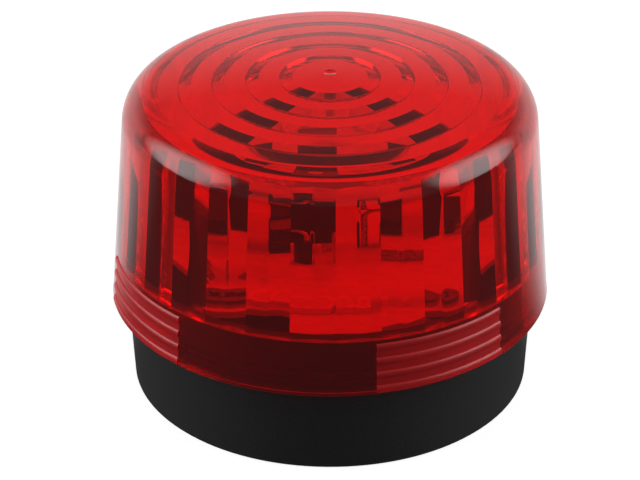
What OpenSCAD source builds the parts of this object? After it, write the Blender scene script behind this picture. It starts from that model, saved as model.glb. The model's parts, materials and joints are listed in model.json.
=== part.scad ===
// Round LED warning beacon: a black base, a red fluted lens that twists on, and the LED board inside.
// Millimetres, +Z up, origin at the centre of the underside.

/* [Lens] */
// Diameter of the smooth skirt at its lower edge
lens_d = 100; // [96:1:120]
// Height of the whole beacon
beacon_h = 74.2; // [70:0.1:95]
// Draft of the lens wall, in degrees
lens_draft = 4.9; // [3:0.1:5.5]
// Radius of the shoulder between the wall and the crown
shoulder_r = 8; // [6:0.1:9]
// Rise of the domed crown
crown_rise = 3.8; // [3:0.1:4.5]
// Thickness of the crown at the grooves between its rings
crown_t = 2.7; // [2:0.1:3.2]
// Height of the crown's edge over the top of the flutes
brow_t = 3.4; // [3.2:0.1:4.2]
// Depth of the skirt, from its lower edge up to the inner ledge
skirt_h = 12.2; // [11.5:0.1:16]
// Wall of the skirt at the inner ledge
skirt_wall = 1.5; // [1.3:0.1:2.2]
// Width of the inner ledge at the grooves between flutes
ledge_w = 0.25; // [0.15:0.05:1]
// Radius of the gate mark in the middle of the crown
gate_r = 1.4; // [0.8:0.1:2.5]
// Depth of the gate mark
gate_depth = 0.5; // [0.2:0.1:0.8]

/* [Lens optics] */
// Number of vertical flutes inside the wall
flute_count = 30; // [26:1:36]
// Depth of a flute's two flat faces, from groove to crest
flute_depth = 1.7; // [1.2:0.1:2]
// Angle of the first flute's crest from +X
flute_phase = 7.5; // [0:0.5:12]
// Number of concentric rings under the crown
ring_count = 5; // [4:1:6]
// Radius of the plain middle inside the rings
middle_r = 8.3; // [6:0.1:12]
// Tilt of the inward face of a ring, in degrees
ring_tilt = 20; // [14:1:24]
// Flat land between the outer ring and the flutes
ring_land = 0.5; // [0.3:0.1:1.5]

/* [Lens grips] */
// Number of ribbed grips round the skirt, and of bayonet lugs behind them
grip_count = 4; // [3:1:5]
// Angle that each grip covers
grip_angle = 37; // [30:1:50]
// Number of ribs on a grip
rib_count = 4; // [2:1:4]
// Height of a rib
rib_h = 1.8; // [1.2:0.1:2.2]
// Height of the lowest rib above the skirt's lower edge
rib_start = 0.3; // [0.2:0.1:0.6]
// Spacing of the ribs
rib_pitch = 3.3; // [2.8:0.1:3.3]
// How far a rib stands out of the skirt
rib_rise = 0.4; // [0.3:0.05:0.8]
// Bevel along a rib's edges
rib_edge = 0.2; // [0.1:0.05:0.25]

/* [Twist lock] */
// Running gap between lens and base, along the axis and across it
twist_gap = 0.3; // [0.2:0.05:0.4]
// How far a bayonet lug stands out of its wall
lug_depth = 1.2; // [1.1:0.1:1.5]
// Height of a bayonet lug
lug_h = 2.2; // [1.5:0.1:2.6]
// Angle that a bayonet lug covers
lug_angle = 24; // [16:1:28]
// Angle that the stop at the end of a base lug covers
stop_angle = 3; // [2:0.5:5]
// Play between a lens lug and its stop, in degrees
stop_play = 0.5; // [0.3:0.1:1]
// How far a base lug runs past its stop, in degrees
stop_inset = 0.5; // [0.3:0.1:1]

/* [Base] */
// Height of the base's wall up to the skirt
base_h = 21; // [16:0.1:30]
// Draft of the base's wall, in degrees
base_draft = 2.6; // [0.5:0.1:3]
// How far the base's wall sits inside the bore of the skirt
base_setback = 0.8; // [0.6:0.1:0.9]
// Bevel round the foot of the base
foot_bevel = 0.5; // [0.2:0.1:1]
// Thickness of the floor
floor_t = 3; // [2.5:0.1:5]
// Wall of the collar inside the skirt
cup_wall = 3; // [2.5:0.1:4]

/* [Seal] */
// Section diameter of the sealing ring
seal_d = 2; // [1.6:0.1:2.2]
// Room round the sealing ring in its groove and to the skirt
seal_gap = 0.15; // [0.1:0.05:0.2]
// Lands below and above the groove
seal_land = 0.9; // [0.7:0.1:1.2]

/* [Fixing] */
// Circle of the fixing holes in the floor
fixing_pcd = 72; // [68:1:73]
// Number of fixing holes
fixing_count = 3; // [2:1:3]
// Diameter of a fixing hole
fixing_d = 4.5; // [3.5:0.1:5]
// Angle of the first fixing hole from +X
fixing_angle = 215; // [210:1:220]
// Diameter of the pad round a fixing hole
fixing_pad_d = 10; // [8:0.5:10]
// Height of the pad above the floor
fixing_pad_h = 1.2; // [0.6:0.1:2]
// Width of the notch in the board over a fixing hole
notch_w = 7.6; // [7:0.1:8]

/* [Cable entry] */
// Distance of the cable entry from the middle
entry_at = 22; // [18:0.5:24]
// Angle of the cable entry from +X
entry_angle = 150; // [140:1:160]
// Diameter of the hole in the floor
entry_d = 11; // [9:0.5:13]
// Diameter of the recess under the floor
entry_recess_d = 16; // [15:0.5:20]
// Depth of the recess under the floor
entry_recess = 1.2; // [1:0.1:1.5]
// Diameter of the cable hole in the grommet
grommet_bore_d = 5; // [4:0.1:6]
// Thickness of the grommet's upper flange
grommet_flange_t = 1.2; // [0.8:0.1:2]

/* [Board] */
// Thickness of the circuit board
board_t = 1.6; // [1:0.1:2]
// Drop of the board's face below the rim of the base
board_drop = 3.2; // [2:0.1:5]
// Gap between the board's edge and the base
board_gap = 4.4; // [3.6:0.1:5]
// Width of the board across its two flats
board_w = 53; // [52:0.5:56]
// Direction across the flats from +X
flat_angle = -30; // [-40:1:-20]
// Circle of the board's posts and screws
post_pcd = 66; // [65:0.5:67]
// Angles of the posts from +X
post_angles = [60, 196, 284]; // [0:1:360]
// Diameter of a post
post_d = 8; // [7:0.1:9]
// Thickness of the gusset between a post and the wall
gusset_t = 1.6; // [1:0.1:2.5]
// Diameter of a screw's core
screw_d = 2.5; // [2:0.1:3]
// Depth of a screw in its post
screw_depth = 9; // [6:0.5:12]
// Diameter of a screw's head
screw_head_d = 5.6; // [5:0.1:6]
// Height of a screw's head
screw_head_h = 1.9; // [1.6:0.1:2.4]
// Width of the cross slots in a screw's head
slot_w = 0.9; // [0.6:0.1:1.1]
// Depth of the cross slots in a screw's head
slot_depth = 1.1; // [0.7:0.1:1.2]
// Gap round a screw in the board and round small pieces in their seats
fit_gap = 0.1; // [0.05:0.05:0.2]
// Diameter of a solder pin for the cable's cores
wire_pin_d = 1; // [0.8:0.1:1.2]
// Height of a solder pin above the board
wire_pin_h = 4; // [3:0.1:6]
// Spacing of the solder pins
wire_pin_pitch = 5; // [4:0.1:6]
// Distance of the solder pins from the flat
wire_pin_edge = 3; // [2.5:0.1:4]

/* [LEDs] */
// Number of LEDs in each of the two arcs
led_count = 4; // [2:1:4]
// Radius of the arcs of LEDs
led_ring_r = 27; // [26:0.1:27.5]
// Spacing of the LEDs in an arc, in degrees
led_pitch = 18; // [16:1:20]
// Side of an LED's square housing
led_w = 5; // [4.5:0.1:5.4]
// Height of an LED's housing
led_h = 1.5; // [1.2:0.1:2]
// Diameter of an LED's window
led_window_d = 4; // [3:0.1:4.2]
// Depth of an LED's window
led_window_depth = 0.8; // [0.4:0.1:1]
// Thickness of a solder contact
contact_t = 0.15; // [0.1:0.05:0.25]
// Width of a solder contact
contact_w = 0.9; // [0.6:0.1:1]
// Height that a contact climbs on the housing
contact_h = 0.8; // [0.5:0.1:1]
// Spacing of the contacts on one side
contact_pitch = 1.6; // [1.4:0.1:1.7]

/* [Leads] */
// Diameter of a round lead
lead_d = 0.6; // [0.4:0.05:0.8]
// Clearance of a lead in its hole
lead_gap = 0.15; // [0.1:0.05:0.25]
// Length of a lead under the board
lead_tail = 1.5; // [0.8:0.1:2.5]
// Bend radius of a lead
lead_bend = 1; // [0.8:0.1:1.5]

/* [Capacitor] */
// Place of the capacitor on the board
cap_at = [-13.7, 9.3]; // [-20:0.1:20]
// Turn of the capacitor
cap_turn = 60; // [0:1:180]
// Diameter over the sleeve
cap_d = 6.3; // [5:0.1:8]
// Height of the can
cap_h = 5.6; // [5:0.1:11]
// Thickness of the sleeve
sleeve_t = 0.25; // [0.15:0.05:0.4]
// Width of the sleeve's lip on top of the can
sleeve_lip = 0.6; // [0.3:0.1:1]
// Spacing of the leads
cap_pitch = 2.5; // [2:0.1:3.5]

/* [Transistor] */
// Place of the transistor on the board
fet_at = [-3.4, 0.8]; // [-20:0.1:20]
// Turn of the transistor
fet_turn = -30; // [-90:1:180]
// Width of the case and the tab
fet_w = 10.2; // [9.5:0.1:10.6]
// Thickness of the case in front of the tab
fet_case_t = 3.2; // [2.8:0.1:3.6]
// Height of the case
fet_case_h = 9.2; // [8.5:0.1:10]
// Thickness of the tab
fet_tab_t = 1.3; // [1:0.1:1.6]
// Height of the tab with the case
fet_tab_h = 15.6; // [14:0.1:17]
// Diameter of the hole in the tab
fet_hole_d = 3.7; // [3:0.1:4]
// Height of the case above the board
fet_lift = 3; // [2:0.1:5]
// Spacing of the leads
fet_pitch = 2.54; // [2.3:0.01:2.8]
// Width of a lead
fet_lead_w = 0.8; // [0.6:0.1:1]
// Thickness of a lead
fet_lead_t = 0.5; // [0.4:0.1:0.6]

/* [Driver chips] */
// Places of the chips on the board
chip_at = [[22.4, -0.2], [-11.4, 19.3]]; // [-24:0.1:24]
// Turn of the chips
chip_turn = 60; // [0:1:90]
// Length of a chip
chip_l = 9.6; // [9:0.1:11]
// Width of a chip
chip_w = 6.3; // [5.5:0.1:6.8]
// Height of a chip's body
chip_h = 3.3; // [2.5:0.1:4]
// Height of the body above the board
chip_lift = 0.6; // [0.4:0.1:1]
// Radius of the notch at a chip's end
chip_notch_r = 0.8; // [0.5:0.1:1]
// Spacing of the pins
chip_pitch = 2.54; // [2.3:0.01:2.6]
// Width of a pin
pin_w = 0.6; // [0.4:0.1:0.8]
// Thickness of a pin
pin_t = 0.3; // [0.2:0.05:0.4]
// How far the pins stand out of the body's sides
pin_out = 0.6; // [0.5:0.1:1]

/* [Resistors] */
// Places of the resistors, each with its turn
resistor_at = [[-14.2, -6.2, 60], [-26.3, 1.3, 60], [11.5, -12.4, -30]]; // [-90:0.1:90]
// Length of a resistor's body
resistor_l = 6.2; // [5:0.1:7]
// Diameter of a resistor at its ends
resistor_d = 2.4; // [1.8:0.1:2.6]
// Diameter of a resistor at its waist
resistor_waist = 2; // [1.4:0.1:2.1]
// Length of each swollen end
resistor_end = 1.4; // [1:0.1:1.8]

/* [Diodes] */
// Places of the diodes
diode_at = [[6.2, -1.9], [-4.8, -4.7]]; // [-26:0.1:26]
// Turn of the diodes' free leads
diode_turn = 150; // [0:1:360]
// Length of a diode's body
diode_l = 5; // [4:0.1:6]
// Diameter of a diode's body
diode_d = 2.6; // [2:0.1:3]
// Height of the body above the board
diode_lift = 0.5; // [0.3:0.1:1]
// Spacing of a diode's two leads
diode_pitch = 2.6; // [2.2:0.1:3]

/* [Hidden] */
$fn = 96;
// Overshoot of a cutting tool past the face that it opens
past = 1;

// Heights, from the floor up
lens_z = base_h + twist_gap;
ledge_z = lens_z + skirt_h;
rim_z = ledge_z - twist_gap;
ceiling_z = beacon_h - crown_rise - brow_t;
board_top = rim_z - board_drop;
board_z = board_top - board_t;
groove_z = base_h + seal_land;
groove_h = seal_d + 2 * seal_gap;
collar_z = groove_z + groove_h + seal_land;
lens_lug_z = collar_z + twist_gap;
base_lug_z = lens_lug_z + lug_h + twist_gap;

// Radii, from the lens inwards
function wall_r(z) = lens_d / 2 - tan(lens_draft) * (z - lens_z);
skirt_r = wall_r(ledge_z) - skirt_wall;
collar_r = skirt_r - twist_gap - lug_depth;
base_r = skirt_r - base_setback;
foot_r = base_r - tan(base_draft) * groove_z;
// A stop ends a little inside the collar's edge
stop_r = base_r - 0.1;
groove_r = skirt_r - seal_d - 2 * seal_gap;
cup_r = collar_r - cup_wall;
board_r = cup_r - board_gap;

// Flutes: ridges of two flat faces that lean with the wall and meet in grooves just inside the skirt's bore
flute_half = 180 / flute_count;
flute_groove_r = skirt_r - ledge_w;
flute_crest_r = flute_groove_r * cos(flute_half) - flute_depth;
// Width of a ridge's half for each unit of its depth
flute_spread = flute_groove_r * sin(flute_half) / flute_depth;
function crest_at(z) = flute_crest_r - tan(lens_draft) * (z - ledge_z);
function groove_at(z) = crest_at(z) * flute_groove_r / flute_crest_r;
// The plain bore lies a little behind the grooves, so the ridges alone shape the wall
bore_margin = 0.15;
// How far a ridge runs into the wall behind its grooves
ridge_back = 0.6;

// Rings: cones under the domed crown, each with an inward face that falls from its groove to its crest
ring_zone = crest_at(ceiling_z) - ring_land;
ring_pitch = (ring_zone - middle_r) / (ring_count - 0.5);
function ring_groove(i) = [middle_r + i * ring_pitch, dome_at(middle_r + i * ring_pitch)];
function ring_crest(i) = ring_groove(i) + ring_pitch / 2 * [1, -tan(ring_tilt)];
function dome_at(r) = crown_z + sqrt(pow(crown_r, 2) - pow(r, 2)) - crown_t;

// Crown and shoulder: a large sphere, and a fillet that is tangent to it and to the drafted wall
crown_edge = wall_r(beacon_h - crown_rise);
crown_r = (pow(crown_edge, 2) + pow(crown_rise, 2)) / (2 * crown_rise);
crown_z = beacon_h - crown_r;
shoulder_slope = tan(lens_draft);
shoulder_line = lens_d / 2 + shoulder_slope * lens_z - shoulder_r / cos(lens_draft);
shoulder_b = shoulder_line * shoulder_slope + crown_z;
shoulder_c = pow(shoulder_line, 2) + pow(crown_z, 2) - pow(crown_r - shoulder_r, 2);
shoulder_a = 1 + pow(shoulder_slope, 2);
shoulder_z = (shoulder_b + sqrt(pow(shoulder_b, 2) - shoulder_a * shoulder_c)) / shoulder_a;
shoulder_x = shoulder_line - shoulder_slope * shoulder_z;
shoulder_end = atan2(shoulder_z - crown_z, shoulder_x);
arc_steps = 12;

// Colours
lens_red = "#d01218";
base_black = "#1c1c1c";
rubber_black = "#101010";
board_white = "#f2f0ea";
housing_white = "#fbfaf6";
window_clear = "#f3e9c8";
tin = "#c9ccd0";
aluminium = "#b9bcc0";
sleeve_black = "#17171c";
case_black = "#202022";
chip_black = "#18181a";
resistor_tan = "#a97c4e";

// Shapes that repeat

// Points along an arc, from angle a to angle b
function arc(centre, r, a, b, n) =
    [for (i = [0:n]) centre + r * [cos(a + (b - a) * i / n), sin(a + (b - a) * i / n)]];

// A block bent round the axis, centred on +X
module sector(r1, r2, h, angle) {
    rotate(-angle / 2) rotate_extrude(angle = angle) translate([r1, 0]) square([r2 - r1, h]);
}

// Copies round the axis
module around(count, first = 0) {
    for (i = [0:count - 1]) rotate(first + i * 360 / count) children();
}

// A place on the face of the board
module on_board(place, turn = 0) {
    translate([place.x, place.y, board_top]) rotate(turn) children();
}

// A straight lead from under the board up to a height above its face
module lead(up, r = lead_d / 2) {
    translate([0, 0, -board_t - lead_tail]) cylinder(r = r, h = board_t + lead_tail + up);
}

// The hole in the board for a lead
module lead_hole(r = lead_d / 2) {
    translate([0, 0, -board_t - past]) cylinder(r = r + lead_gap, h = board_t + 2 * past);
}

// A quarter bend from +Z to +X, centred so that it starts at the origin
module elbow() {
    translate([lead_bend, 0, 0]) rotate([90, 0, 180]) rotate_extrude(angle = 90)
        translate([lead_bend, 0]) circle(d = lead_d);
}

// The lens

module lens_outside() {
    rotate_extrude() polygon(concat(
        [[0, lens_z], [lens_d / 2, lens_z]],
        arc([shoulder_x, shoulder_z], shoulder_r, lens_draft, shoulder_end, arc_steps),
        arc([0, crown_z], crown_r, shoulder_end + (90 - shoulder_end) / arc_steps, 90, arc_steps - 1)));
}

module grip_rib(z) {
    foot = skirt_wall / 2;
    low = wall_r(z);
    high = wall_r(z + rib_h);
    rotate(-grip_angle / 2) rotate_extrude(angle = grip_angle) polygon([
        [low - foot, z],
        [low + rib_rise - rib_edge, z],
        [low + rib_rise, z + rib_edge],
        [high + rib_rise, z + rib_h - rib_edge],
        [high + rib_rise - rib_edge, z + rib_h],
        [high - foot, z + rib_h]]);
}

// The space inside the lens: a bore and a ringed ceiling, less the ridges of the flutes
module lens_hollow() {
    deep = flute_depth + ridge_back;
    difference() {
        rotate_extrude() polygon(concat(
            [[0, ledge_z], [groove_at(ledge_z) + bore_margin, ledge_z],
                [groove_at(ceiling_z) + bore_margin, ceiling_z], [ring_zone, ceiling_z]],
            [for (i = [ring_count - 1:-1:1]) each [ring_groove(i), ring_crest(i - 1)]],
            [ring_groove(0), [0, ring_groove(0).y]]));
        around(flute_count, flute_phase) translate([flute_crest_r, 0, ledge_z]) rotate([0, -lens_draft, 0])
            translate([0, 0, -past]) linear_extrude(beacon_h - ledge_z + past)
                polygon([[0, 0], [deep, -deep * flute_spread], [deep, deep * flute_spread]]);
    }
}

module lens() color(lens_red) {
    difference() {
        union() {
            lens_outside();
            around(grip_count) for (k = [0:rib_count - 1])
                grip_rib(lens_z + rib_start + k * rib_pitch);
        }
        translate([0, 0, lens_z - past]) cylinder(r = skirt_r, h = ledge_z - lens_z + past);
        lens_hollow();
        translate([0, 0, beacon_h + gate_r - gate_depth]) sphere(r = gate_r);
    }
    around(grip_count) translate([0, 0, lens_lug_z])
        sector(skirt_r - lug_depth, skirt_r + skirt_wall / 2, lug_h, lug_angle);
}

// The base

module base_cup() {
    rotate_extrude() polygon([
        [0, 0],
        [foot_r - foot_bevel, 0],
        [foot_r, foot_bevel],
        [base_r, groove_z],
        [groove_r, groove_z],
        [groove_r, groove_z + groove_h],
        [base_r, groove_z + groove_h],
        [base_r, collar_z],
        [collar_r, collar_z],
        [collar_r, rim_z],
        [cup_r, rim_z],
        [cup_r, floor_t],
        [0, floor_t]]);
}

// A lug, with the stop that hangs from its end
module base_lug() {
    wall = cup_wall / 2;
    full = lug_angle + stop_play + stop_angle + stop_inset;
    rotate(-(full - lug_angle) / 2) translate([0, 0, base_lug_z])
        sector(collar_r - wall, collar_r + lug_depth, lug_h, full);
    rotate(-(lug_angle + stop_angle) / 2 - stop_play) translate([0, 0, collar_z - seal_land / 2])
        sector(collar_r - wall, stop_r, base_lug_z - collar_z + seal_land, stop_angle);
}

module fixing_sites() around(fixing_count, fixing_angle) translate([fixing_pcd / 2, 0, 0]) children();

module post_sites() for (a = post_angles) rotate(a) translate([post_pcd / 2, 0, 0]) children();

module entry_site() rotate(entry_angle) translate([entry_at, 0, 0]) children();

module base() color(base_black) difference() {
    union() {
        base_cup();
        around(grip_count) base_lug();
        fixing_sites() cylinder(d = fixing_pad_d, h = floor_t + fixing_pad_h);
        post_sites() {
            translate([0, 0, floor_t / 2]) cylinder(d = post_d, h = board_z - floor_t / 2);
            translate([0, -gusset_t / 2, floor_t / 2])
                cube([cup_r + cup_wall / 2 - post_pcd / 2, gusset_t, board_z - floor_t / 2]);
        }
    }
    fixing_sites() translate([0, 0, -past]) cylinder(d = fixing_d, h = floor_t + fixing_pad_h + 2 * past);
    post_sites() translate([0, 0, board_z - screw_depth - past])
        cylinder(d = screw_d, h = screw_depth + 2 * past);
    entry_site() {
        translate([0, 0, -past]) cylinder(d = entry_d, h = floor_t + 2 * past);
        translate([0, 0, -past]) cylinder(d = entry_recess_d, h = entry_recess + past);
    }
}

module lens_seal() color(rubber_black) translate([0, 0, groove_z + groove_h / 2])
    rotate_extrude() translate([groove_r + seal_gap + seal_d / 2, 0]) circle(d = seal_d);

module cable_grommet() color(rubber_black) entry_site() {
    bore = grommet_bore_d / 2;
    neck = entry_d / 2 - fit_gap;
    flange = entry_recess_d / 2 - fit_gap;
    rotate_extrude() polygon([
        [bore, fit_gap],
        [flange, fit_gap],
        [flange, entry_recess],
        [neck, entry_recess],
        [neck, floor_t],
        [flange, floor_t],
        [flange, floor_t + grommet_flange_t],
        [bore, floor_t + grommet_flange_t]]);
}

// The board and its screws

module circuit_board() color(board_white) difference() {
    intersection() {
        translate([0, 0, board_z]) cylinder(r = board_r, h = board_t);
        rotate(flat_angle) translate([-board_w / 2, -board_r - past, board_z - past])
            cube([board_w, 2 * (board_r + past), board_t + 2 * past]);
    }
    fixing_sites() translate([0, 0, board_z - past]) {
        cylinder(d = notch_w, h = board_t + 2 * past);
        translate([0, -notch_w / 2, 0]) cube([notch_w, notch_w, board_t + 2 * past]);
    }
    post_sites() translate([0, 0, board_z - past]) cylinder(d = screw_d + 2 * fit_gap, h = board_t + 2 * past);
    wire_sites() lead_hole(wire_pin_d / 2);
    capacitor_feet() lead_hole();
    transistor_feet() lead_hole(norm([fet_lead_w, fet_lead_t]) / 2);
    chip_feet() lead_hole(norm([pin_w, pin_t]) / 2);
    resistor_feet() lead_hole();
    diode_feet() lead_hole();
}

module board_screws() color(tin) post_sites() translate([0, 0, board_top]) {
    difference() {
        cylinder(d = screw_head_d, h = screw_head_h);
        for (a = [0, 90]) rotate(a) translate([-screw_head_d / 4, -slot_w / 2, screw_head_h - slot_depth])
            cube([screw_head_d / 2, slot_w, slot_depth + past]);
    }
    translate([0, 0, -board_t - screw_depth]) cylinder(d = screw_d - 2 * fit_gap, h = board_t + screw_depth);
}

// The pins that the cable's cores are soldered to, along the flat over the cable entry
module wire_sites() for (s = [-1, 1]) on_board([0, 0], flat_angle + 180)
    translate([board_w / 2 - wire_pin_edge, s * wire_pin_pitch / 2, 0]) children();

module wire_pins() color(tin) wire_sites() lead(wire_pin_h, wire_pin_d / 2);

// The LEDs, in two arcs over the round ends of the board

module led_sites() for (side = [90, 270]) for (k = [0:led_count - 1])
    rotate(flat_angle + side + (k - (led_count - 1) / 2) * led_pitch)
        translate([led_ring_r, 0, board_top]) children();

module led_housings() color(housing_white) led_sites() translate([0, 0, contact_t]) difference() {
    translate([-led_w / 2, -led_w / 2, 0]) cube([led_w, led_w, led_h]);
    translate([0, 0, led_h - led_window_depth]) cylinder(d = led_window_d, h = led_window_depth + past);
}

module led_windows() color(window_clear) led_sites() translate([0, 0, contact_t + led_h - led_window_depth])
    cylinder(d = led_window_d, h = led_window_depth);

// Each contact is a foot under the housing with a riser up its side
module led_contacts() color(tin) led_sites() for (side = [0, 180]) for (k = [-1:1])
    rotate(side) translate([k * contact_pitch + contact_w / 2, 0, 0]) rotate([0, -90, 0])
        linear_extrude(contact_w) polygon([
            [0, led_w / 2 - contact_h],
            [contact_t, led_w / 2 - contact_h],
            [contact_t, led_w / 2],
            [contact_h, led_w / 2],
            [contact_h, led_w / 2 + contact_t],
            [0, led_w / 2 + contact_t]]);

// The capacitor

module capacitor_feet() on_board(cap_at, cap_turn) for (s = [-1, 1])
    translate([s * cap_pitch / 2, 0, 0]) children();

module capacitor_can() color(aluminium) on_board(cap_at)
    cylinder(r = cap_d / 2 - sleeve_t, h = cap_h);

// A shrunk tube with a lip turned over the top of the can
module capacitor_sleeve() color(sleeve_black) on_board(cap_at) rotate_extrude() polygon([
    [cap_d / 2 - sleeve_t, 0],
    [cap_d / 2, 0],
    [cap_d / 2, cap_h + sleeve_t],
    [cap_d / 2 - sleeve_t - sleeve_lip, cap_h + sleeve_t],
    [cap_d / 2 - sleeve_t - sleeve_lip, cap_h],
    [cap_d / 2 - sleeve_t, cap_h]]);

module capacitor_leads() color(tin) capacitor_feet() lead(0);

// The transistor

module transistor_feet() on_board(fet_at, fet_turn) for (k = [-1:1])
    translate([k * fet_pitch, 0, 0]) children();

module transistor_case() color(case_black) on_board(fet_at, fet_turn)
    translate([-fet_w / 2, -fet_case_t / 2, fet_lift]) cube([fet_w, fet_case_t, fet_case_h]);

module transistor_tab() color(aluminium) on_board(fet_at, fet_turn) difference() {
    translate([-fet_w / 2, fet_case_t / 2, fet_lift]) cube([fet_w, fet_tab_t, fet_tab_h]);
    translate([0, fet_case_t / 2 - past, fet_lift + (fet_case_h + fet_tab_h) / 2]) rotate([-90, 0, 0])
        cylinder(d = fet_hole_d, h = fet_tab_t + 2 * past);
}

module transistor_leads() color(tin) transistor_feet()
    translate([-fet_lead_w / 2, -fet_lead_t / 2, -board_t - lead_tail])
        cube([fet_lead_w, fet_lead_t, board_t + lead_tail + fet_lift]);

// The driver chips

module chip_sites() for (place = chip_at) on_board(place, chip_turn) children();

module chip_feet() chip_sites() for (side = [0, 180]) rotate(side)
    for (k = [0:3]) translate([(k - 1.5) * chip_pitch, chip_w / 2 + pin_out - pin_t / 2, 0]) children();

module driver_chips() color(chip_black) chip_sites() translate([0, 0, chip_lift])
    difference() {
        translate([-chip_l / 2, -chip_w / 2, 0]) cube([chip_l, chip_w, chip_h]);
        translate([-chip_l / 2, 0, chip_h / 2]) cylinder(r = chip_notch_r, h = chip_h);
    }

// Each pin leaves the body at half height and turns down through the board
module driver_chip_pins() color(tin) chip_feet() {
    shoulder = chip_lift + chip_h / 2;
    tail = board_t + lead_tail;
    translate([pin_w / 2, 0, 0]) rotate([0, -90, 0]) linear_extrude(pin_w) polygon([
        [-tail, -pin_t / 2],
        [-tail, pin_t / 2],
        [shoulder, pin_t / 2],
        [shoulder, pin_t / 2 - pin_out],
        [shoulder - pin_t, pin_t / 2 - pin_out],
        [shoulder - pin_t, -pin_t / 2]]);
}

// The resistors, lying on the board with their leads turned down

resistor_axis = resistor_d / 2 + fit_gap;
resistor_reach = resistor_l / 2 + lead_bend;

module resistor_sites() for (place = resistor_at) on_board(place, place.z) children();

module resistor_feet() resistor_sites() for (side = [0, 180]) rotate(side)
    translate([resistor_reach, 0, 0]) children();

module resistors() color(resistor_tan) resistor_sites() translate([0, 0, resistor_axis])
    rotate([0, 90, 0]) translate([0, 0, -resistor_l / 2]) rotate_extrude() polygon([
        [0, 0],
        [resistor_d / 2, 0],
        [resistor_d / 2, resistor_end],
        [resistor_waist / 2, resistor_end + (resistor_d - resistor_waist)],
        [resistor_waist / 2, resistor_l - resistor_end - (resistor_d - resistor_waist)],
        [resistor_d / 2, resistor_l - resistor_end],
        [resistor_d / 2, resistor_l],
        [0, resistor_l]]);

module resistor_leads() color(tin) resistor_feet() {
    rise = resistor_axis - lead_bend;
    lead(rise);
    translate([0, 0, rise]) rotate(180) elbow();
}

// The diodes, standing on one lead with the other turned over

module diode_sites() for (place = diode_at) on_board(place, diode_turn) children();

module diode_feet() diode_sites() {
    children();
    translate([diode_pitch, 0, 0]) children();
}

module diodes() color(case_black) diode_sites() translate([0, 0, diode_lift])
    cylinder(d = diode_d, h = diode_l);

module diode_leads() color(tin) diode_sites() {
    over = diode_lift + diode_l + lead_tail;
    lead(diode_lift);
    translate([0, 0, diode_lift + diode_l]) cylinder(d = lead_d, h = lead_tail);
    translate([diode_pitch / 2, 0, over]) rotate([90, 0, 0]) rotate_extrude(angle = 180)
        translate([diode_pitch / 2, 0]) circle(d = lead_d);
    translate([diode_pitch, 0, 0]) lead(over);
}

lens();
base();
lens_seal();
cable_grommet();
circuit_board();
board_screws();
wire_pins();
led_housings();
led_windows();
led_contacts();
capacitor_can();
capacitor_sleeve();
capacitor_leads();
transistor_case();
transistor_tab();
transistor_leads();
driver_chips();
driver_chip_pins();
resistors();
resistor_leads();
diodes();
diode_leads();
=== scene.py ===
import json
import math

import bpy
import numpy as np
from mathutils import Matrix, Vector


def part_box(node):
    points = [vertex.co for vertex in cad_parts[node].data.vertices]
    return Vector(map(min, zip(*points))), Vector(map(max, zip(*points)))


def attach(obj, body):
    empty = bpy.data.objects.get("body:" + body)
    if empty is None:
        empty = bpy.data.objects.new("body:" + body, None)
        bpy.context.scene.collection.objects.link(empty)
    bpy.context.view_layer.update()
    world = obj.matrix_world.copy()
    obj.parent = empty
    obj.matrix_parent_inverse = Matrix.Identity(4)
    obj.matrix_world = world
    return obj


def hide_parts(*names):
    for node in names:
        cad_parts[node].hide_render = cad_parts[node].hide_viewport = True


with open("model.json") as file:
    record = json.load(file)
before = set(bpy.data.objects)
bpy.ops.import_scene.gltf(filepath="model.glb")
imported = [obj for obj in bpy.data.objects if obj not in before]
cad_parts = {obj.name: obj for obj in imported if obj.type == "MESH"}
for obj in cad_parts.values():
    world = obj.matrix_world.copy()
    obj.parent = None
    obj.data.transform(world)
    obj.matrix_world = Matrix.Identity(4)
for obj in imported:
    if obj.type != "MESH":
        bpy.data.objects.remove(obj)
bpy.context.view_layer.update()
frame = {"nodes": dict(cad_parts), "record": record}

mm = 0.001
noiseSpan = (0.3, 0.7)  # most values of a noise texture lie between these


# small helpers

def linearColour(code):  # sRGB hex, such as "d01218", to linear RGBA
    srgb = np.array([int(code[i:i + 2], 16) for i in (0, 2, 4)]) / 255
    linear = np.where(srgb <= 0.04045, srgb / 12.92, ((srgb + 0.055) / 1.055) ** 2.4)
    return (*linear.tolist(), 1.0)


def addNode(tree, kind, settings={}, links={}):  # a key is a socket, by name or number, or a property
    node = tree.nodes.new(kind)
    for key, value in settings.items():
        if isinstance(key, int) or key in node.inputs:
            node.inputs[key].default_value = value
        else:
            setattr(node, key, value)
    for key, source in links.items():
        tree.links.new(source, node.inputs[key])
    return node


def newMaterial(name):
    material = bpy.data.materials.new(name)
    material.use_nodes = True
    material.node_tree.nodes.clear()
    return material, material.node_tree


def meshPiece(name, points, faces, sharpAngle=30):  # edges that turn by more degrees than that stay sharp
    mesh = bpy.data.meshes.new(name)
    mesh.from_pydata(points, [], faces)
    mesh.validate()
    mesh.polygons.foreach_set("use_smooth", np.ones(len(mesh.polygons), bool))
    mesh.set_sharp_from_angle(angle=math.radians(sharpAngle))
    piece = bpy.data.objects.new(name, mesh)
    bpy.context.scene.collection.objects.link(piece)
    return piece


def arcPoints(centre, radius, start, end, count):  # points on a circle in r and z, from start to end degrees
    angle = np.radians(np.linspace(start, end, count))
    return np.stack([centre[0] + radius * np.cos(angle), centre[1] + radius * np.sin(angle)], 1)


# camera

cameraSettings = {
    "azimuth": -30.0,       # degrees round the beacon, 0 looks along +Y
    "elevation": 28.97,     # degrees above the floor
    "distance": 550 * mm,
    "target": (0, 0, 31.88 * mm),
    "focalPixels": 2399.0,  # focal length in pixels of the picture
    "axisPixel": 330.09,    # where the beacon's axis stands across the picture
    "pictureWidth": 640,
    "sensorWidth": 36.0,    # mm
}


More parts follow.
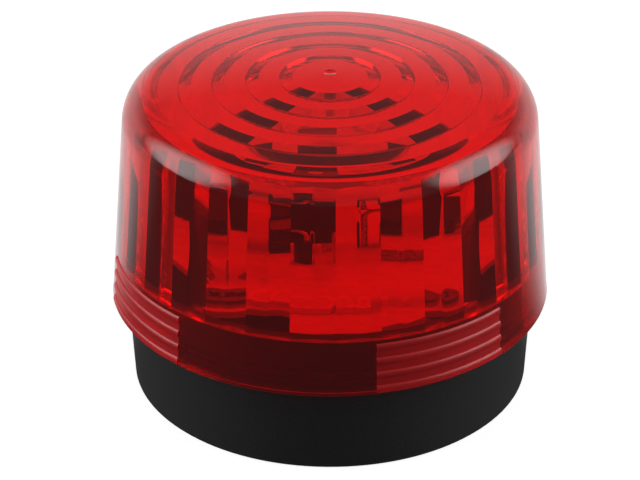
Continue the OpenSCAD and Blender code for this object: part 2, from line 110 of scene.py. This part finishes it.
def makeCamera(s):
    azimuth, elevation = math.radians(s["azimuth"]), math.radians(s["elevation"])
    back = Vector((math.sin(azimuth) * math.cos(elevation),
                   -math.cos(azimuth) * math.cos(elevation), math.sin(elevation)))
    data = bpy.data.cameras.new("camera")
    data.sensor_width = s["sensorWidth"]
    data.lens = s["focalPixels"] * s["sensorWidth"] / s["pictureWidth"]
    data.shift_x = (s["pictureWidth"] / 2 - s["axisPixel"]) / s["pictureWidth"]
    camera = bpy.data.objects.new("camera", data)
    camera.location = Vector(s["target"]) + back * s["distance"]
    camera.rotation_euler = back.to_track_quat("Z", "Y").to_euler()
    bpy.context.scene.collection.objects.link(camera)
    bpy.context.scene.camera = camera


makeCamera(cameraSettings)
print("camera made")


# lens: one moulding with a smooth outside, flutes in the wall and rings under the crown; in millimetres

lens = {
    "low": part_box("lens")[0][2] / mm,  # lower edge of the skirt
    "high": 74.2,                  # top of the crown, which the gate mark dips below
    "radius": 50.0,                # smooth skirt at its lower edge
    "draft": 4.9,                  # degrees
    "shoulderRadius": 8.0,
    "crownRise": 3.8,
    "crownThickness": 2.7,
    "browThickness": 2.9,          # edge of the crown over the top of the flutes
    "skirtHeight": 12.2,
    "skirtWall": 1.5,
    "ledgeWidth": 1.5,
    "gateRadius": 5.0,             # of the ball that the gate mark is a cap of
    "gateDepth": 0.22,
    "fluteCount": 30,
    "fluteDepth": 0.5,
    "flutePhase": 7.5,             # degrees
    "fluteSteps": 14,              # columns in a flute
    "ringCount": 5,
    "middleRadius": 8.3,
    "ringTilt": 20.0,              # degrees, inward face of a ring
    "ringShare": 0.36,             # share of the pitch that the inward face takes
    "ringRiser": 0.3,              # across the steep step from a crest to the next land
    "ringLand": 1.6,               # from the top of the flutes to the outermost ring
    "gripCount": 4,
    "gripAngle": 37.0,             # degrees
    "ribCount": 4,
    "ribHeight": 1.8,
    "ribStart": 0.3,
    "ribPitch": 3.3,
    "ribRise": 0.4,
    "edgeRound": 0.3,
    "lugDepth": 1.2,
    "lugHeight": 2.2,
    "lugAngle": 24.0,              # degrees
    "lugLow": 4.1,                 # lugs above the skirt's lower edge
    "stepWidth": 0.04,             # degrees across a step at the end of a rib or a lug
    "gateRows": 6,
    "crownRows": 12,
    "shoulderRows": 14,
    "wallRows": 8,
    "ribRows": 18,
    "edgeRows": 8,
    "fluteRows": 4,
    "sharpAngle": 14.0,            # degrees
}
print("lens from", round(lens["low"], 2), "to", lens["high"], "mm")


def lensAngles(s):  # even columns, with a pair of columns at each end of a grip and of a lug
    count = s["fluteCount"] * s["fluteSteps"]
    even = s["flutePhase"] - 180 / s["fluteCount"] + np.arange(count) * 360 / count
    steps = [
        centre + side * half + edge * s["stepWidth"] / 2
        for centre in np.arange(s["gripCount"]) * 360 / s["gripCount"]
        for half in (s["gripAngle"] / 2, s["lugAngle"] / 2)
        for side in (-1, 1)
        for edge in (-1, 1)
    ]
    return np.unique(np.round(np.concatenate([even, steps]) % 360, 4))


def withinSectors(angles, s, width):  # True for columns within that many degrees round a grip's middle
    pitch = 360 / s["gripCount"]
    return np.abs((angles + pitch / 2) % pitch - pitch / 2) < width / 2


# Each column is a profile in r and z, from the gate mark over the outside, round the skirt's lower edge,
# up the bore, along the ledge, up the flute and in along the rings. A flute is a ridge of two flat faces
# that leans with the wall: in plan each face is the straight line from a groove to a crest.
def makeLens(s):
    angles = lensAngles(s)
    columns = len(angles)
    slope = math.tan(math.radians(s["draft"]))
    ledge = s["low"] + s["skirtHeight"]
    ceiling = s["high"] - s["crownRise"] - s["browThickness"]

    def wall(z):
        return s["radius"] - slope * (z - s["low"])

    # crown sphere and shoulder fillet, tangent to each other and to the wall: the fillet's centre lies on
    # a line beside the wall and on a circle inside the crown, so its height solves a quadratic
    crownEdge = wall(s["high"] - s["crownRise"])
    crownRadius = (crownEdge ** 2 + s["crownRise"] ** 2) / (2 * s["crownRise"])
    crownCentre = s["high"] - crownRadius
    line = s["radius"] + slope * s["low"] - s["shoulderRadius"] / math.cos(math.radians(s["draft"]))
    a = 1 + slope ** 2
    b = line * slope + crownCentre
    c = line ** 2 + crownCentre ** 2 - (crownRadius - s["shoulderRadius"]) ** 2
    shoulderZ = (b + math.sqrt(b ** 2 - a * c)) / a
    shoulderR = line - slope * shoulderZ
    shoulderEnd = math.degrees(math.atan2(shoulderZ - crownCentre, shoulderR))

    # gate mark, a shallow dish in the middle of the crown, then crown, shoulder and plain wall
    dishCentre = s["high"] + s["gateRadius"] - s["gateDepth"]
    dishHalf = math.degrees(math.acos((s["gateRadius"] - s["gateDepth"]) / s["gateRadius"]))
    dish = arcPoints((0, dishCentre), s["gateRadius"], -90, -90 + dishHalf, s["gateRows"])
    crownStart = math.degrees(math.acos(dish[-1][0] / crownRadius))
    crown = arcPoints((0, crownCentre), crownRadius, crownStart, shoulderEnd, s["crownRows"])[1:]
    shoulder = arcPoints((shoulderR, shoulderZ), s["shoulderRadius"],
                         shoulderEnd, s["draft"], s["shoulderRows"])[1:]
    ribZone = s["low"] + s["ribStart"] + (s["ribCount"] - 1) * s["ribPitch"] + s["ribHeight"]
    upperZ = np.linspace(shoulder[-1][1], ribZone, s["wallRows"])[1:-1]
    upper = np.stack([wall(upperZ), upperZ], 1)

    # one rib's section: half an ellipse, drawn from the top down in even steps of the way it faces
    facing = np.linspace(0, math.pi, s["ribRows"])
    turn = np.arctan2(s["ribRise"] * np.sin(facing), s["ribHeight"] / 2 * np.cos(facing))
    ribOut = s["ribRise"] * np.sin(turn)
    ribZ = s["ribHeight"] / 2 * (1 + np.cos(turn))
    plainZ = np.linspace(s["ribHeight"], 0, len(ribZ))
    ribLows = s["low"] + s["ribStart"] + np.arange(s["ribCount"])[::-1] * s["ribPitch"]
    gripZ = (ribLows[:, None] + ribZ).ravel()
    gripR = wall(gripZ) + np.tile(ribOut, s["ribCount"])
    panelZ = (ribLows[:, None] + plainZ).ravel()
    panelR = wall(panelZ)

    # lower edge, rounded, then the bore with its lugs and the edge of the ledge
    bore = wall(ledge) - s["skirtWall"]
    edge = s["edgeRound"]
    outerTurn = arcPoints((s["radius"] - edge, s["low"] + edge), edge, 0, -90, s["edgeRows"])
    innerTurn = arcPoints((bore + edge, s["low"] + edge), edge, -90, -180, s["edgeRows"])
    lugLow = s["low"] + s["lugLow"]
    lugZ = np.array([lugLow, lugLow, lugLow + s["lugHeight"], lugLow + s["lugHeight"]])
    lugR = np.array([bore, bore - s["lugDepth"], bore - s["lugDepth"], bore])
    boreZ = np.linspace(lugZ[0], lugZ[-1], len(lugZ))
    boreR = np.full(len(lugZ), bore)
    ledgeEdge = np.array([[bore, ledge]])

    # flutes, with the ratio of groove to crest kept all the way up
    sector = 360 / s["fluteCount"]
    half = math.pi / s["fluteCount"]
    grooveLow = bore - s["ledgeWidth"]
    crestLow = grooveLow * math.cos(half) - s["fluteDepth"]
    grooveShare = grooveLow / crestLow
    fluteZ = np.linspace(ledge, ceiling, s["fluteRows"])
    crest = crestLow - slope * (fluteZ - ledge)
    groove = crest * grooveShare
    off = np.abs(np.radians((angles - s["flutePhase"] + sector / 2) % sector - sector / 2))
    fluteR = (crest * groove * math.sin(half))[:, None] / (
        crest[:, None] * np.sin(off) + groove[:, None] * np.sin(half - off))

    # rings: cones under the domed crown, each with an inward face that falls from its groove to its crest,
    # a steep step back up and a land along the dome; the outermost crest is level with the top of the flutes
    def dome(r):
        return crownCentre + np.sqrt(crownRadius ** 2 - r ** 2) - s["crownThickness"]

    ringZone = crest[-1] - s["ringLand"]
    face = s["ringShare"]
    pitch = (ringZone - s["middleRadius"]) / (s["ringCount"] - 1 + face)
    grooveR = s["middleRadius"] + np.arange(s["ringCount"])[::-1] * pitch
    crestR = grooveR + pitch * face
    crestZ = dome(grooveR) - pitch * face * math.tan(math.radians(s["ringTilt"]))
    crestZ[0] = ceiling
    riserR = crestR + s["ringRiser"]
    steps = np.stack([riserR, dome(riserR), crestR, crestZ, grooveR, dome(grooveR)], 1).reshape(-1, 2)
    rings = np.concatenate([steps[1:], [[0, dome(s["middleRadius"])]]])

    # all rows, as radius and height of each column
    inGrip = withinSectors(angles, s, s["gripAngle"])
    inLug = withinSectors(angles, s, s["lugAngle"])
    outside = np.concatenate([dish, crown, shoulder, upper])
    below = np.concatenate([outerTurn, innerTurn])
    rowsR = np.concatenate([
        np.tile(outside[:, :1], columns),
        np.where(inGrip, gripR[:, None], panelR[:, None]),
        np.tile(below[:, :1], columns),
        np.where(inLug, lugR[:, None], boreR[:, None]),
        np.tile(ledgeEdge[:, :1], columns),
        fluteR,
        np.tile(rings[:, :1], columns),
    ])
    rowsZ = np.concatenate([
        np.tile(outside[:, 1:], columns),
        np.where(inGrip, gripZ[:, None], panelZ[:, None]),
        np.tile(below[:, 1:], columns),
        np.where(inLug, lugZ[:, None], boreZ[:, None]),
        np.tile(ledgeEdge[:, 1:], columns),
        np.tile(fluteZ[:, None], columns),
        np.tile(rings[:, 1:], columns),
    ])

    # the first and last rows are single points on the axis
    turnAngle = np.radians(angles)
    grid = np.stack([rowsR * np.cos(turnAngle), rowsR * np.sin(turnAngle), rowsZ], 2)[1:-1] * mm
    rows = len(grid)
    poles = [[0, 0, rowsZ[0, 0] * mm], [0, 0, rowsZ[-1, 0] * mm]]
    points = np.concatenate([grid.reshape(-1, 3), poles])
    number = np.arange(rows * columns).reshape(rows, columns)
    beside = np.roll(number, -1, axis=1)
    quads = np.stack([number[:-1], number[1:], beside[1:], beside[:-1]], 2).reshape(-1, 4)
    top, bottom = rows * columns, rows * columns + 1
    capTop = np.stack([np.full(columns, top), number[0], beside[0]], 1)
    capBottom = np.stack([np.full(columns, bottom), beside[-1], number[-1]], 1)
    faces = quads.tolist() + capTop.tolist() + capBottom.tolist()
    piece = meshPiece("lens_moulding", points.tolist(), faces, s["sharpAngle"])

    # faces of the ribbed grips, which the material makes duller and, as painted glow, redder
    first = len(outside) - 1
    ribbed = np.zeros((rows - 1, columns), bool)
    ribbed[first:first + len(gripZ) - 1] = inGrip & np.roll(inGrip, -1)
    marks = np.concatenate([ribbed.ravel(), np.zeros(2 * columns)]).astype(np.float32)
    piece.data.attributes.new("grip", "FLOAT", "FACE").data.foreach_set("value", marks)
    return piece


polycarbonate = {
    "ior": 1.58,
    "roughness": (0.015, 0.05),    # polished mould, a little duller where the melt cooled last
    "flow": 14.0,                  # mm across a flow mark
    "flowDetail": 2.0,
    "flowDepth": 0.004,            # mm
    "tint": (0.996, 0.0, 0.02, 1),  # red passes almost whole, green and blue are taken
    "density": 850.0,              # per metre
    "dye": "ff5559",
    "clear": 0.952,                # the rest is haze, dyed like the melt
    "gripClear": 0.58,             # the grips' ribs are left unpolished
    # redder than the rest of the moulding: painted glow for the light that gathers in the ribs
    "gripDyeAndPaintedGlow": "ff2730",
    "gripRoughness": 0.36,
}


# clear red polycarbonate from a polished mould: sharp gloss with faint flow marks, and a tint that deepens
# with the thickness, so thin walls glow and edges go dark; the unpolished grips look hazy, and their redder
# dye is painted glow for the light that gathers in the ribs
def polycarbonateMaterial(s):
    material, tree = newMaterial("red_polycarbonate_moulded")
    place = addNode(tree, "ShaderNodeTexCoord")
    flow = addNode(tree, "ShaderNodeTexNoise", {"Scale": 1 / (s["flow"] * mm), "Detail": s["flowDetail"]},
                   {"Vector": place.outputs["Object"]})
    gloss = addNode(tree, "ShaderNodeMapRange", {
        "From Min": noiseSpan[0], "From Max": noiseSpan[1],
        "To Min": s["roughness"][0], "To Max": s["roughness"][1]}, {"Value": flow.outputs[0]})
    marks = addNode(tree, "ShaderNodeBump", {"Strength": 1.0, "Distance": s["flowDepth"] * mm},
                    {"Height": flow.outputs[0]})
    grip = addNode(tree, "ShaderNodeAttribute", {"attribute_name": "grip"}).outputs["Fac"]
    clearness = addNode(tree, "ShaderNodeMapRange", {"To Min": s["clear"], "To Max": s["gripClear"]},
                        {"Value": grip})
    dullness = addNode(tree, "ShaderNodeMapRange", {"To Max": s["gripRoughness"]},
                       {"Value": grip, "To Min": gloss.outputs["Result"]})
    # the grips take the redder dye, a painted glow
    dye = addNode(tree, "ShaderNodeMix", {  # 6 and 7 are its two colours in, 2 the colour out
        "data_type": "RGBA", 6: linearColour(s["dye"]), 7: linearColour(s["gripDyeAndPaintedGlow"])}, {0: grip})
    plastic = addNode(tree, "ShaderNodeBsdfPrincipled", {
        "Base Color": linearColour(s["dye"]), "IOR": s["ior"], "Transmission Weight": s["clear"]}, {
        "Base Color": dye.outputs[2], "Roughness": dullness.outputs["Result"],
        "Normal": marks.outputs["Normal"], "Transmission Weight": clearness.outputs["Result"]})
    clear = addNode(tree, "ShaderNodeBsdfTransparent", {"Color": (1, 1, 1, 1)})
    rays = addNode(tree, "ShaderNodeLightPath")
    lit = addNode(tree, "ShaderNodeMixShader", {}, {  # light reaches the board straight through the lens
        0: rays.outputs["Is Shadow Ray"], 1: plastic.outputs["BSDF"], 2: clear.outputs["BSDF"]})
    tint = addNode(tree, "ShaderNodeVolumeAbsorption", {"Color": s["tint"], "Density": s["density"]})
    addNode(tree, "ShaderNodeOutputMaterial", {}, {
        "Surface": lit.outputs[0], "Volume": tint.outputs["Volume"]})
    return material


lensPiece = makeLens(lens)
lensPiece.data.materials.append(polycarbonateMaterial(polycarbonate))
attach(lensPiece, "lens")
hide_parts("lens")
print("lens made,", len(lensPiece.data.polygons), "faces")


# finishes of the solid pieces, by the record's slots; grain and depth are in millimetres, and the finest
# grains are drawn coarser than the real ones so that they show

grainDetail = 4.0
colourSpan = (0.35, 0.65)  # grain values at which the two colours stand
waveBand = math.pi / 10    # width of one band of a wave texture of scale 1
finishes = {
    # black ABS from a spark-eroded mould: a fine even grain that spreads the gloss into a satin sheen
    "base_black": {
        "name": "abs_black_spark_eroded", "colours": ("2a2a2b", "363637"),
        "roughness": (0.36, 0.48), "grain": (0.4, 0.4, 0.4), "depth": 0.012},
    # moulded nitrile rubber: dull, with a bloom in patches
    "rubber_black": {
        "name": "nitrile_rubber_moulded", "colours": ("0d0d0d", "171716"),
        "roughness": (0.6, 0.8), "grain": (0.6, 0.6, 0.6), "depth": 0.01},
    # glass-fibre laminate under white solder mask: the cloth's weave shows as a faint grid of dimples
    "board_white": {
        "name": "glass_fibre_white_mask", "colours": ("eceae2", "f6f5f0"),
        "roughness": (0.35, 0.5), "grain": (2.0, 2.0, 2.0), "depth": 0.004, "weave": 0.5},
    # zinc-plated steel: pale metal with small dull crystals
    "screw_steel": {
        "name": "steel_zinc_plated", "colours": ("a9acb1", "c8cbce"),
        "roughness": (0.28, 0.42), "grain": (0.25, 0.25, 0.25), "depth": 0.004, "metal": 1.0},
    # white polyamide with reflector filler: chalky and very pale
    "housing_white": {
        "name": "polyamide_white_moulded", "colours": ("f1efe8", "fbfaf6"),
        "roughness": (0.4, 0.55), "grain": (0.3, 0.3, 0.3), "depth": 0.003},
    # silicone with yellow phosphor: soft gloss over fine yellow specks
    "window_clear": {
        "name": "silicone_phosphor_cast", "colours": ("e3cf8c", "f3e6b4"),
        "roughness": (0.15, 0.25), "grain": (0.15, 0.15, 0.15), "depth": 0.001},
    # tinned copper: bright soft metal with a wavy dip coat
    "tinned_lead": {
        "name": "copper_hot_tinned", "colours": ("bfc2c6", "d6d8da"),
        "roughness": (0.22, 0.36), "grain": (0.5, 0.5, 1.5), "depth": 0.005, "metal": 1.0},
    # deep-drawn aluminium: fine lines along the draw
    "can_aluminium": {
        "name": "aluminium_drawn", "colours": ("b4b7bb", "cdd0d3"),
        "roughness": (0.25, 0.4), "grain": (0.12, 0.12, 3.0), "depth": 0.003, "metal": 1.0},
    # shrunk PVC tube: glossy, with soft ripples where it tightened
    "sleeve_black": {
        "name": "pvc_black_shrunk", "colours": ("111114", "1b1b20"),
        "roughness": (0.22, 0.34), "grain": (1.5, 1.5, 0.8), "depth": 0.01},
    # black epoxy moulded with silica filler: flat and finely speckled
    "case_black": {
        "name": "epoxy_black_moulded", "colours": ("1a1a1c", "28282a"),
        "roughness": (0.45, 0.62), "grain": (0.2, 0.2, 0.2), "depth": 0.006},
    # stamped copper tab, tinned: rolling lines under the tin
    "tab_metal": {
        "name": "copper_stamped_tinned", "colours": ("a9acb0", "c4c6c9"),
        "roughness": (0.3, 0.45), "grain": (0.15, 0.15, 2.5), "depth": 0.003, "metal": 1.0},
    # ceramic rod dipped in tan lacquer: uneven colour under a gloss
    "resistor_tan": {
        "name": "ceramic_tan_lacquered", "colours": ("8f6438", "b58a58"),
        "roughness": (0.2, 0.32), "grain": (0.8, 0.8, 0.8), "depth": 0.008},
}


def solidMaterial(s):  # one grain gives colour, gloss and relief, so they change together
    material, tree = newMaterial(s["name"])
    place = addNode(tree, "ShaderNodeTexCoord")
    fitted = addNode(tree, "ShaderNodeMapping", {"Scale": [1 / (size * mm) for size in s["grain"]]},
                     {"Vector": place.outputs["Object"]})
    grain = addNode(tree, "ShaderNodeTexNoise", {"Scale": 1.0, "Detail": grainDetail},
                    {"Vector": fitted.outputs[0]})
    height = grain.outputs[0]
    if "weave" in s:  # two sets of threads, as the product of two waves a thread apart
        threads = [
            addNode(tree, "ShaderNodeTexWave", {
                "bands_direction": way, "Scale": waveBand / (s["weave"] * mm)},
                {"Vector": place.outputs["Object"]}).outputs["Fac"]
            for way in ("X", "Y")
        ]
        height = addNode(tree, "ShaderNodeMath", {"operation": "MULTIPLY"},
                         {0: threads[0], 1: threads[1]}).outputs[0]
    colour = addNode(tree, "ShaderNodeValToRGB", {}, {"Fac": grain.outputs[0]})
    for stop, position, code in zip(colour.color_ramp.elements, colourSpan, s["colours"]):
        stop.position = position
        stop.color = linearColour(code)
    gloss = addNode(tree, "ShaderNodeMapRange", {
        "From Min": noiseSpan[0], "From Max": noiseSpan[1],
        "To Min": s["roughness"][0], "To Max": s["roughness"][1]}, {"Value": grain.outputs[0]})
    relief = addNode(tree, "ShaderNodeBump", {"Strength": 1.0, "Distance": s["depth"] * mm},
                     {"Height": height})
    shader = addNode(tree, "ShaderNodeBsdfPrincipled", {"Metallic": s.get("metal", 0.0)}, {
        "Base Color": colour.outputs["Color"], "Roughness": gloss.outputs["Result"],
        "Normal": relief.outputs["Normal"]})
    addNode(tree, "ShaderNodeOutputMaterial", {}, {"Surface": shader.outputs["BSDF"]})
    return material


solids = {slot: solidMaterial(finish) for slot, finish in finishes.items()}
for part in frame["record"]["subparts"]:
    if part["material_slot"] in solids:
        data = frame["nodes"][part["node"]].data
        data.materials.clear()
        data.materials.append(solids[part["material_slot"]])
print("finishes set,", len(solids))


# circuit board: a round board with two wide sides of a larger radius, lugs at its screws and three notches
# over the fixing holes; in millimetres and degrees

board = {
    "low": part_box("circuit_board")[0][2] / mm,
    "high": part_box("circuit_board")[1][2] / mm,
    "radius": 37.4,
    "width": 62.0,                 # across the two sides
    "sideRadius": 41.0,
    "sideShift": 0.8,              # the sides lie off the middle
    "sideAngle": -30.0,            # direction across the sides
    "notches": ((95, 3.9), (215, 5.9), (335, 3.9)),  # angle and radius over each fixing hole
    "notchCircle": 36.0,           # radius of the circle of fixing holes
    "lugAngles": (60, 196, 284),   # the board's screws, each in a round lug
    "lugCircle": 33.0,
    "lugRadius": 4.2,
    "columns": 1440,
    "sharpAngle": 20.0,
}


# The outline is a radius for each angle: the least of the rim and of the two large circles of the sides,
# out to the edge of a round lug at each screw, and in to the near edge of a notch over each fixing hole.
def makeBoard(s):
    angles = np.arange(s["columns"]) * 2 * math.pi / s["columns"]
    radius = np.full(s["columns"], s["radius"])
    for side in (-1, 1):
        away = angles - math.radians(s["sideAngle"])
        middle = s["sideShift"] + side * (s["width"] / 2 - s["sideRadius"])
        reach = middle * np.cos(away) + np.sqrt(s["sideRadius"] ** 2 - (middle * np.sin(away)) ** 2)
        radius = np.minimum(radius, reach)
    for centre in s["lugAngles"]:
        away = angles - math.radians(centre)
        aside = s["lugCircle"] * np.sin(away)
        inside = (np.abs(aside) < s["lugRadius"]) & (np.cos(away) > 0)
        edge = s["lugCircle"] * np.cos(away) + np.sqrt(np.maximum(s["lugRadius"] ** 2 - aside ** 2, 0))
        radius = np.where(inside, np.maximum(radius, np.minimum(edge, s["radius"])), radius)
    for centre, size in s["notches"]:
        away = angles - math.radians(centre)
        aside = s["notchCircle"] * np.sin(away)
        inside = (np.abs(aside) < size) & (np.cos(away) > 0)
        edge = s["notchCircle"] * np.cos(away) - np.sqrt(np.maximum(size ** 2 - aside ** 2, 0))
        radius = np.where(inside, np.minimum(radius, edge), radius)
    flat = np.stack([radius * np.cos(angles), radius * np.sin(angles)], 1)
    rings = [np.column_stack([flat, np.full(len(flat), z)]) for z in (s["low"], s["high"])]
    points = np.concatenate([*rings, [[0, 0, s["low"]], [0, 0, s["high"]]]]) * mm
    count = s["columns"]
    low = np.arange(count)
    beside = np.roll(low, -1)
    rim = np.stack([low, beside, beside + count, low + count], 1)
    under = np.stack([np.full(count, 2 * count), beside, low], 1)
    over = np.stack([np.full(count, 2 * count + 1), low + count, beside + count], 1)
    faces = rim.tolist() + under.tolist() + over.tolist()
    return meshPiece("board_laminate", points.tolist(), faces, s["sharpAngle"])


boardPiece = makeBoard(board)
boardPiece.data.materials.append(solids["board_white"])
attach(boardPiece, "base")
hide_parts("circuit_board")
print("board made")


# stage: a pale paper floor, a pale backdrop behind it, a dim room and two soft lights at the sides

stage = {
    "floorSize": 4.0,              # metres
    "floorGlow": 0.86,             # share of the paper's white that no shadow takes away
    "floorPaper": 0.45,            # diffuse part, which keeps the shadow
    "paperTone": 0.9,              # paper as gloss and clear plastic show it: painted light, a glow behind the beacon
    "darkFloorTone": 0.06,             # dark tone of the floor towards the sides and the front, in the painted glow and in the bounced light
    "paperWidth": (0.0, 0.6),      # cosine from straight behind over which the painted glow falls to the dark tone
    "backdropWidth": (0.3, 0.65),  # cosine from straight behind over which the backdrop ends
    "backdropTop": (0.05, 0.62),   # sine of the elevation over which the backdrop fades
    "backdropTone": 0.85,
    "roomTone": 0.14,
    "lightAzimuth": 88.0,          # degrees from the camera round to each side
    "lightElevation": 21.0,
    "lightSpread": (8.0, 34.0),    # degrees from a light's middle over which it fades
    "lightTone": 3.2,
    "bounces": 40,                 # a ray crosses many clear faces of the lens
}
viewAzimuth = math.radians(cameraSettings["azimuth"])
viewBehind = (-math.sin(viewAzimuth), math.cos(viewAzimuth), 0)


# The camera sees white paper with the beacon's shadow. Gloss and clear plastic see painted light: the floor
# glows at the paper's tone behind the beacon and falls to a dark tone towards the sides and the front, and
# other light bounces off that tone.
def makeFloor(s):
    half = s["floorSize"] / 2
    floor = meshPiece("floor", [(-half, -half, 0), (half, -half, 0), (half, half, 0), (-half, half, 0)],
                      [(0, 1, 2, 3)])
    material, tree = newMaterial("white_paper_floor")
    place = addNode(tree, "ShaderNodeTexCoord").outputs["Object"]
    way = addNode(tree, "ShaderNodeVectorMath", {"operation": "NORMALIZE"}, {0: place}).outputs[0]
    behind = addNode(tree, "ShaderNodeVectorMath", {"operation": "DOT_PRODUCT", 1: viewBehind}, {0: way})
    tone = addNode(tree, "ShaderNodeMapRange", {
        "From Min": s["paperWidth"][0], "From Max": s["paperWidth"][1],
        "To Min": s["darkFloorTone"], "To Max": s["paperTone"], "interpolation_type": "SMOOTHSTEP"},
        {"Value": behind.outputs["Value"]}).outputs["Result"]
    rays = addNode(tree, "ShaderNodeLightPath").outputs
    # painted light: the floor glows for gloss and clear plastic, brightest behind the beacon
    paintedFloorGlow = addNode(tree, "ShaderNodeEmission", {}, {"Strength": tone})
    glow = addNode(tree, "ShaderNodeEmission", {"Strength": s["floorGlow"]})
    diffuse = addNode(tree, "ShaderNodeBsdfDiffuse", {"Color": (s["floorPaper"],) * 3 + (1,)})
    white = addNode(tree, "ShaderNodeAddShader", {}, {0: glow.outputs[0], 1: diffuse.outputs[0]})
    bounced = addNode(tree, "ShaderNodeBsdfDiffuse", {}, {"Color": tone})
    mirrored = addNode(tree, "ShaderNodeMath", {"operation": "MAXIMUM"},
                       {0: rays["Is Glossy Ray"], 1: rays["Is Transmission Ray"]}).outputs[0]
    other = addNode(tree, "ShaderNodeMixShader", {}, {
        0: mirrored, 1: bounced.outputs[0], 2: paintedFloorGlow.outputs[0]})
    mixed = addNode(tree, "ShaderNodeMixShader", {}, {
        0: rays["Is Camera Ray"], 1: other.outputs[0], 2: white.outputs[0]})
    addNode(tree, "ShaderNodeOutputMaterial", {}, {"Surface": mixed.outputs[0]})
    floor.data.materials.append(material)


# Light by direction: the backdrop low down behind the beacon, the room where that is darker, and the two
# lights on top. The camera sees white.
def makeWorld(s):
    world = bpy.data.worlds.new("studio")
    world.use_nodes = True
    tree = world.node_tree
    tree.nodes.clear()
    way = addNode(tree, "ShaderNodeTexCoord").outputs["Generated"]
    behind = addNode(tree, "ShaderNodeVectorMath", {"operation": "DOT_PRODUCT", 1: viewBehind}, {0: way})
    up = addNode(tree, "ShaderNodeSeparateXYZ", {}, {0: way}).outputs["Z"]
    wide = addNode(tree, "ShaderNodeMapRange", {
        "From Min": s["backdropWidth"][0], "From Max": s["backdropWidth"][1],
        "To Max": s["backdropTone"], "interpolation_type": "SMOOTHSTEP"},
        {"Value": behind.outputs["Value"]}).outputs["Result"]
    low = addNode(tree, "ShaderNodeMapRange", {
        "From Min": s["backdropTop"][0], "From Max": s["backdropTop"][1],
        "To Min": 1.0, "To Max": 0.0, "interpolation_type": "SMOOTHSTEP"}, {"Value": up}).outputs["Result"]
    level = addNode(tree, "ShaderNodeMath", {"operation": "MULTIPLY"}, {0: wide, 1: low}).outputs[0]
    level = addNode(tree, "ShaderNodeMath", {"operation": "MAXIMUM", 1: s["roomTone"]}, {0: level}).outputs[0]
    rise = math.radians(s["lightElevation"])
    inner, outer = (math.cos(math.radians(angle)) for angle in s["lightSpread"])
    for side in (-1, 1):
        turn = viewAzimuth + side * math.radians(s["lightAzimuth"])
        aim = (math.sin(turn) * math.cos(rise), -math.cos(turn) * math.cos(rise), math.sin(rise))
        facing = addNode(tree, "ShaderNodeVectorMath", {"operation": "DOT_PRODUCT", 1: aim}, {0: way})
        soft = addNode(tree, "ShaderNodeMapRange", {
            "From Min": outer, "From Max": inner,
            "To Max": s["lightTone"], "interpolation_type": "SMOOTHSTEP"},
            {"Value": facing.outputs["Value"]}).outputs["Result"]
        level = addNode(tree, "ShaderNodeMath", {"operation": "ADD"}, {0: level, 1: soft}).outputs[0]
    rays = addNode(tree, "ShaderNodeLightPath").outputs
    level = addNode(tree, "ShaderNodeMath", {"operation": "MAXIMUM"},
                    {0: level, 1: rays["Is Camera Ray"]}).outputs[0]
    shade = addNode(tree, "ShaderNodeBackground", {"Color": (1, 1, 1, 1)}, {"Strength": level})
    addNode(tree, "ShaderNodeOutputWorld", {}, {"Surface": shade.outputs[0]})
    bpy.context.scene.world = world


makeFloor(stage)
makeWorld(stage)
bpy.context.scene.view_settings.view_transform = "Standard"
for limit in ("max_bounces", "glossy_bounces", "transmission_bounces"):
    setattr(bpy.context.scene.cycles, limit, stage["bounces"])
print("stage made")
